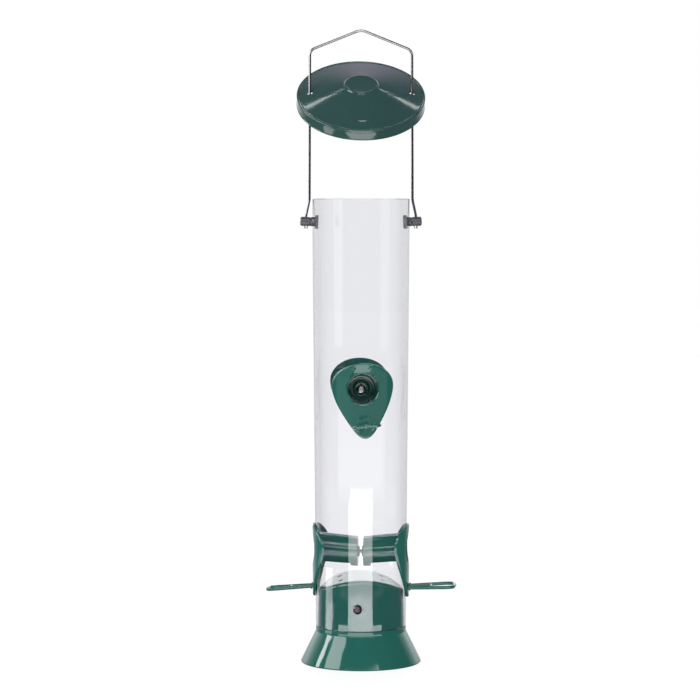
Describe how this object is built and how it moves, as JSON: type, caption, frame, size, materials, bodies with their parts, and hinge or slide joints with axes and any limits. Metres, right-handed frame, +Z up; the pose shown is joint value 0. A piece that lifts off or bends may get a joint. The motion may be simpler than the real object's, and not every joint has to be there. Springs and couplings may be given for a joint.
{
  "type": "hanging tube bird feeder",
  "caption": "Hanging clear tube seed feeder with a flared base, teardrop ports with loop perches, and a lid that slides and tips on a wire bail.",
  "frame": {"origin": "middle of the base's bottom ring, on the surface it stands on", "axes": "+Z up along the tube, -Y the front, where one upper port is, +X to the right seen from the front"},
  "size_m": [0.1416, 0.1441, 0.4694],
  "materials": {
    "clear_tube": "clear, polished, with faint drawing lines along its length",
    "green_paint": "gloss enamel",
    "lid_paint": "gloss enamel, darker than the base",
    "dark_screw": "blackened, slightly worn",
    "bright_screw": "zinc plated",
    "bail_steel": "bright drawn wire",
    "grey_plastic": "moulded, satin"
  },
  "bodies": {
    "root": {"tube": "clear_tube", "base": "green_paint", "base_screw_front": "dark_screw", "base_screw_rear": "dark_screw", "port_front": "green_paint", "port_rear": "green_paint", "port_right": "green_paint", "port_left": "green_paint", "perch_front": "green_paint", "perch_rear": "green_paint", "perch_right": "green_paint", "perch_left": "green_paint", "tie_screw_upper": "bright_screw", "tie_screw_lower": "bright_screw", "tie_nut_upper": "bright_screw", "tie_nut_lower": "bright_screw"},
    "bail": {"bail_wire": "bail_steel", "pivot_peg_right": "grey_plastic", "pivot_peg_left": "grey_plastic"},
    "lid_guides": {"lid_guide_right": "bail_steel", "lid_guide_left": "bail_steel"},
    "lid": {"lid": "lid_paint"}
  },
  "joints": [
    {"name": "bail_swing", "type": "hinge", "parent": "root", "child": "bail", "pos_m": [0, 0, 0.3278], "axis": [1, 0, 0], "range_deg": [-1.5, 1.5]},
    {"name": "lid_slide", "type": "slide", "parent": "bail", "child": "lid_guides", "axis": [0, 0, 1], "range_m": [-0.0759, 0.018]},
    {"name": "lid_tilt", "type": "hinge", "parent": "lid_guides", "child": "lid", "pos_m": [0, 0, 0.4222], "axis": [1, 0, 0], "range_deg": [-35.01, 8.35]}
  ],
  "couplings": [
    {"joint": "lid_tilt", "follows": "lid_slide", "rad_per_m": 8.0483}
  ]
}
